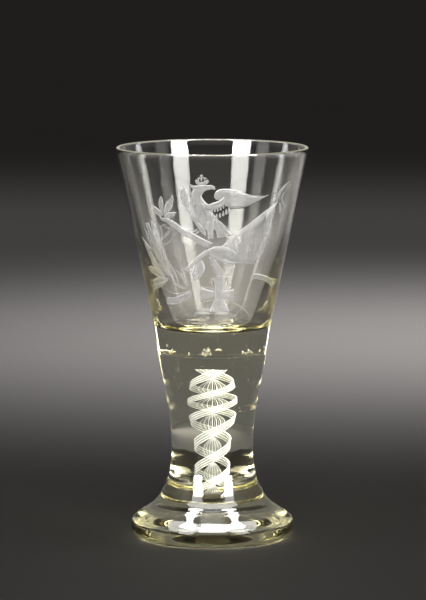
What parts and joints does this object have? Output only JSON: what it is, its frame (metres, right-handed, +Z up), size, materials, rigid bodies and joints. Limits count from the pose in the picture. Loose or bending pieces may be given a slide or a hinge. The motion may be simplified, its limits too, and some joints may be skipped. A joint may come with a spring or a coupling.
{
  "type": "glass goblet",
  "caption": "Heavy clear glass goblet with a funnel bowl on a solid stem that encloses an opaque white twist, and a flared foot. It holds a drink and stands on its foot.",
  "frame": {"origin": "centre of the resting ring under the foot", "axes": "+Z up along the goblet's axis, the side shown in the picture faces -Y"},
  "size_m": [0.0878, 0.0878, 0.18],
  "materials": {
    "clear_glass": "polished",
    "core_glass": "polished",
    "white_glass": "opaque"
  },
  "bodies": {
    "root": {"bowl": "clear_glass", "stem": "clear_glass", "foot": "clear_glass", "core_half_a": "core_glass", "core_half_b": "core_glass", "band_a_thread_1": "white_glass", "band_a_thread_2": "white_glass", "band_a_thread_3": "white_glass", "band_a_thread_4": "white_glass", "band_a_thread_5": "white_glass", "band_a_thread_6": "white_glass", "band_a_thread_7": "white_glass", "band_b_thread_1": "white_glass", "band_b_thread_2": "white_glass", "band_b_thread_3": "white_glass", "band_b_thread_4": "white_glass", "band_b_thread_5": "white_glass", "band_b_thread_6": "white_glass", "band_b_thread_7": "white_glass", "tape_thread_1": "white_glass", "tape_thread_2": "white_glass", "tape_thread_3": "white_glass", "tape_thread_4": "white_glass", "tape_thread_5": "white_glass", "tape_thread_6": "white_glass", "tape_thread_7": "white_glass", "tape_thread_8": "white_glass", "tape_thread_9": "white_glass", "tape_thread_10": "white_glass", "tape_thread_11": "white_glass", "tape_thread_12": "white_glass", "tape_thread_13": "white_glass"}
  },
  "joints": []
}
